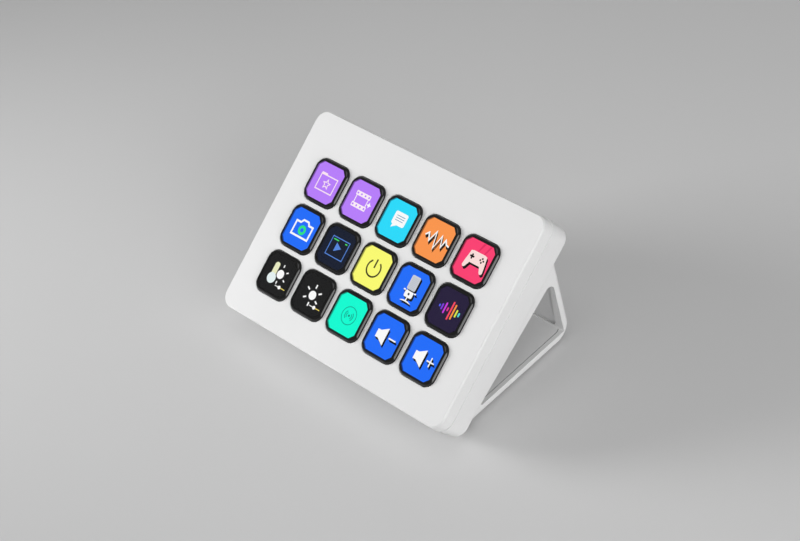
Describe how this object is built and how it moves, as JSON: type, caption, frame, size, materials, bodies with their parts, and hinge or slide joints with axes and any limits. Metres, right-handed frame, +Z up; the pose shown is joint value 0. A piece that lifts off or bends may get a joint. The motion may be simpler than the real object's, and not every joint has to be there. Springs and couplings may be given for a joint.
{
  "type": "macro keypad",
  "caption": "Desk keypad of square display keys with clear caps in a white drafted housing, hooked on a hollow triangular stand with a rubber sole.",
  "frame": {"origin": "middle of the rubber sole's underside, on the desk", "axes": "+X right along the panel's long side, +Y rearward, +Z up"},
  "size_m": [0.118, 0.0774, 0.0614],
  "materials": {
    "white_shell": "fine moulded satin",
    "white_stand": "fine moulded satin",
    "floor_plastic": "fine moulded satin",
    "clear_lens": "polished clear acrylic",
    "key_black": "polished black",
    "frame_plastic": "moulded black",
    "silicone": "translucent grey silicone",
    "circuit_board": "green solder mask",
    "display_glass": "dark display glass",
    "light_guide": "white reflector film",
    "ribbon_film": "amber film",
    "socket_plastic": "black moulded",
    "chip_resin": "dull black resin",
    "shell_steel": "drawn steel",
    "sole_rubber": "matt non-slip rubber"
  },
  "bodies": {
    "case": {"faceplate": "white_shell", "rear_cover": "white_shell", "stand": "white_stand", "floor_panel": "floor_plastic", "mid_frame": "frame_plastic", "dome_sheet": "silicone", "switch_board": "circuit_board", "main_board": "circuit_board", "lcd_panel": "display_glass", "backlight": "light_guide", "ribbon_cable": "ribbon_film", "ribbon_socket": "socket_plastic", "controller_chip": "chip_resin", "usb_socket": "shell_steel", "usb_tongue": "socket_plastic", "sole_pad": "sole_rubber"},
    "key_1_1": {"key_lens_1_1": "clear_lens", "key_skirt_1_1": "key_black"},
    "key_1_2": {"key_lens_1_2": "clear_lens", "key_skirt_1_2": "key_black"},
    "key_1_3": {"key_lens_1_3": "clear_lens", "key_skirt_1_3": "key_black"},
    "key_1_4": {"key_lens_1_4": "clear_lens", "key_skirt_1_4": "key_black"},
    "key_1_5": {"key_lens_1_5": "clear_lens", "key_skirt_1_5": "key_black"},
    "key_2_1": {"key_lens_2_1": "clear_lens", "key_skirt_2_1": "key_black"},
    "key_2_2": {"key_lens_2_2": "clear_lens", "key_skirt_2_2": "key_black"},
    "key_2_3": {"key_lens_2_3": "clear_lens", "key_skirt_2_3": "key_black"},
    "key_2_4": {"key_lens_2_4": "clear_lens", "key_skirt_2_4": "key_black"},
    "key_2_5": {"key_lens_2_5": "clear_lens", "key_skirt_2_5": "key_black"},
    "key_3_1": {"key_lens_3_1": "clear_lens", "key_skirt_3_1": "key_black"},
    "key_3_2": {"key_lens_3_2": "clear_lens", "key_skirt_3_2": "key_black"},
    "key_3_3": {"key_lens_3_3": "clear_lens", "key_skirt_3_3": "key_black"},
    "key_3_4": {"key_lens_3_4": "clear_lens", "key_skirt_3_4": "key_black"},
    "key_3_5": {"key_lens_3_5": "clear_lens", "key_skirt_3_5": "key_black"}
  },
  "joints": [
    {"name": "press_1_1", "type": "slide", "parent": "case", "child": "key_1_1", "axis": [0, 0.5592, -0.829], "range_m": [0, 0.0013], "stiffness_N_per_m": 400, "springref_m": -0.0004},
    {"name": "press_1_2", "type": "slide", "parent": "case", "child": "key_1_2", "axis": [0, 0.5592, -0.829], "range_m": [0, 0.0013], "stiffness_N_per_m": 400, "springref_m": -0.0004},
    {"name": "press_1_3", "type": "slide", "parent": "case", "child": "key_1_3", "axis": [0, 0.5592, -0.829], "range_m": [0, 0.0013], "stiffness_N_per_m": 400, "springref_m": -0.0004},
    {"name": "press_1_4", "type": "slide", "parent": "case", "child": "key_1_4", "axis": [0, 0.5592, -0.829], "range_m": [0, 0.0013], "stiffness_N_per_m": 400, "springref_m": -0.0004},
    {"name": "press_1_5", "type": "slide", "parent": "case", "child": "key_1_5", "axis": [0, 0.5592, -0.829], "range_m": [0, 0.0013], "stiffness_N_per_m": 400, "springref_m": -0.0004},
    {"name": "press_2_1", "type": "slide", "parent": "case", "child": "key_2_1", "axis": [0, 0.5592, -0.829], "range_m": [0, 0.0013], "stiffness_N_per_m": 400, "springref_m": -0.0004},
    {"name": "press_2_2", "type": "slide", "parent": "case", "child": "key_2_2", "axis": [0, 0.5592, -0.829], "range_m": [0, 0.0013], "stiffness_N_per_m": 400, "springref_m": -0.0004},
    {"name": "press_2_3", "type": "slide", "parent": "case", "child": "key_2_3", "axis": [0, 0.5592, -0.829], "range_m": [0, 0.0013], "stiffness_N_per_m": 400, "springref_m": -0.0004},
    {"name": "press_2_4", "type": "slide", "parent": "case", "child": "key_2_4", "axis": [0, 0.5592, -0.829], "range_m": [0, 0.0013], "stiffness_N_per_m": 400, "springref_m": -0.0004},
    {"name": "press_2_5", "type": "slide", "parent": "case", "child": "key_2_5", "axis": [0, 0.5592, -0.829], "range_m": [0, 0.0013], "stiffness_N_per_m": 400, "springref_m": -0.0004},
    {"name": "press_3_1", "type": "slide", "parent": "case", "child": "key_3_1", "axis": [0, 0.5592, -0.829], "range_m": [0, 0.0013], "stiffness_N_per_m": 400, "springref_m": -0.0004},
    {"name": "press_3_2", "type": "slide", "parent": "case", "child": "key_3_2", "axis": [0, 0.5592, -0.829], "range_m": [0, 0.0013], "stiffness_N_per_m": 400, "springref_m": -0.0004},
    {"name": "press_3_3", "type": "slide", "parent": "case", "child": "key_3_3", "axis": [0, 0.5592, -0.829], "range_m": [0, 0.0013], "stiffness_N_per_m": 400, "springref_m": -0.0004},
    {"name": "press_3_4", "type": "slide", "parent": "case", "child": "key_3_4", "axis": [0, 0.5592, -0.829], "range_m": [0, 0.0013], "stiffness_N_per_m": 400, "springref_m": -0.0004},
    {"name": "press_3_5", "type": "slide", "parent": "case", "child": "key_3_5", "axis": [0, 0.5592, -0.829], "range_m": [0, 0.0013], "stiffness_N_per_m": 400, "springref_m": -0.0004}
  ]
}
